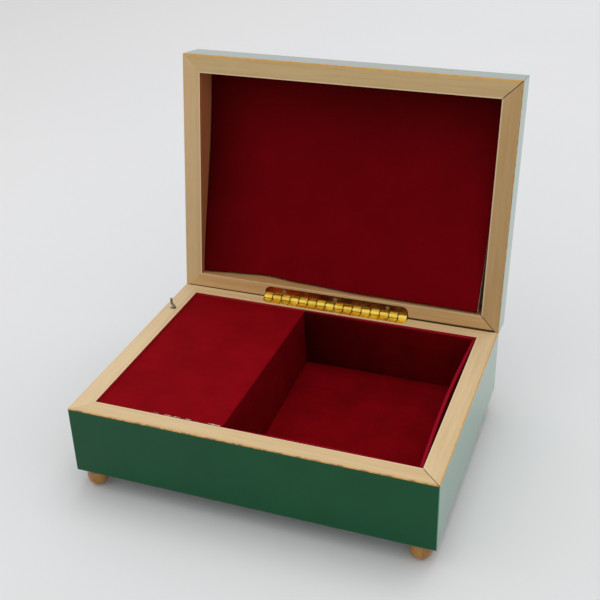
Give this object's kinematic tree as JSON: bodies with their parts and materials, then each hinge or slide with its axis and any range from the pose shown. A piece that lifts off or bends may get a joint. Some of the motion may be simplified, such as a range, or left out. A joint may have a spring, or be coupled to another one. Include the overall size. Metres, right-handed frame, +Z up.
{
  "type": "music box",
  "caption": "Wooden keepsake box with a hinged, lined lid, a covered wind-up musical movement on the left, a lined trinket compartment on the right and ball feet.",
  "frame": {"origin": "on the surface the feet stand on, below the middle of the box as it stands with its lid open", "axes": "+X along the length to the right seen from the front, +Y from front to back, +Z up"},
  "size_m": [0.16, 0.1502, 0.156],
  "materials": {
    "green_lacquer": "deep green gloss lacquer outside, pale bare wood on the sawn rims",
    "varnished_wood": "clear varnish over turned wood",
    "bare_wood": "sanded bare wood",
    "red_lining": "deep red flocked covering on card",
    "polished_brass": "polished brass plate",
    "steel": "plain steel",
    "movement_brass": "satin brass",
    "cast_zinc": "as-cast light metal",
    "moulded_gear": "natural moulded gear plastic"
  },
  "bodies": {
    "box": {"body_front_rail": "green_lacquer", "body_back_rail": "green_lacquer", "body_left_rail": "green_lacquer", "body_right_rail": "green_lacquer", "base_panel": "green_lacquer", "ball_feet": "varnished_wood", "divider": "bare_wood", "cover_ledge": "bare_wood", "movement_cover": "red_lining", "floor_lining": "red_lining", "front_lining": "red_lining", "back_lining": "red_lining", "right_lining": "red_lining", "divider_lining": "red_lining", "hinge_body_leaf": "polished_brass", "hinge_pin": "polished_brass", "hinge_body_nails": "polished_brass", "stop_bracket": "steel", "stop_bracket_screws": "steel", "stop_spring": "steel", "bedplate": "cast_zinc", "movement_screws": "steel", "barrel_bridge": "steel", "governor_frame": "cast_zinc", "governor_stud": "steel", "comb": "steel", "comb_base": "cast_zinc", "comb_screws": "steel"},
    "lid": {"lid_front_rail": "green_lacquer", "lid_back_rail": "green_lacquer", "lid_left_rail": "green_lacquer", "lid_right_rail": "green_lacquer", "lid_top_panel": "green_lacquer", "lid_liner": "red_lining", "hinge_lid_leaf": "polished_brass", "hinge_lid_nails": "polished_brass"},
    "stop": {"stop_wire": "steel"},
    "key": {"winding_arbor": "steel", "winding_key": "steel"},
    "barrel": {"spring_barrel": "movement_brass", "barrel_cap": "movement_brass", "mainspring": "steel"},
    "cylinder": {"cylinder": "movement_brass", "cylinder_arbor": "steel", "drive_pinion": "movement_brass", "cylinder_gear": "moulded_gear"},
    "wheel": {"governor_wheel": "moulded_gear"},
    "fan": {"fan_spindle": "steel", "fan": "movement_brass"}
  },
  "joints": [
    {"name": "lid_hinge", "type": "hinge", "parent": "box", "child": "lid", "pos_m": [0, 0.04124, 0.04091], "axis": [1, 0, 0], "range_deg": [0, 98.08]},
    {"name": "stop_slide", "type": "slide", "parent": "box", "child": "stop", "axis": [0, 0, 1], "range_m": [-0.00532, 0], "deforming": ["stop_spring"]},
    {"name": "key_turn", "type": "hinge", "parent": "box", "child": "key", "pos_m": [-0.048, -0.02411, 0], "axis": [0, 0, 1], "continuous": true},
    {"name": "barrel_spin", "type": "hinge", "parent": "box", "child": "barrel", "pos_m": [-0.048, -0.02411, 0.01081], "axis": [0, 0, 1], "continuous": true},
    {"name": "cylinder_spin", "type": "hinge", "parent": "box", "child": "cylinder", "pos_m": [-0.048, -0.01026, 0.02619], "axis": [0, 1, 0], "continuous": true},
    {"name": "wheel_spin", "type": "hinge", "parent": "box", "child": "wheel", "pos_m": [-0.05366, 0.01234, 0.02053], "axis": [0, 1, 0], "continuous": true},
    {"name": "fan_spin", "type": "hinge", "parent": "box", "child": "fan", "pos_m": [-0.06036, 0.01294, 0.01081], "axis": [0, 0, 1], "continuous": true}
  ],
  "couplings": [
    {"joint": "stop_slide", "follows": "lid_hinge", "m_per_rad": -0.0030955},
    {"joint": "cylinder_spin", "follows": "barrel_spin", "ratio": 3.6},
    {"joint": "wheel_spin", "follows": "barrel_spin", "ratio": -14.4},
    {"joint": "fan_spin", "follows": "barrel_spin", "ratio": -403.2}
  ]
}
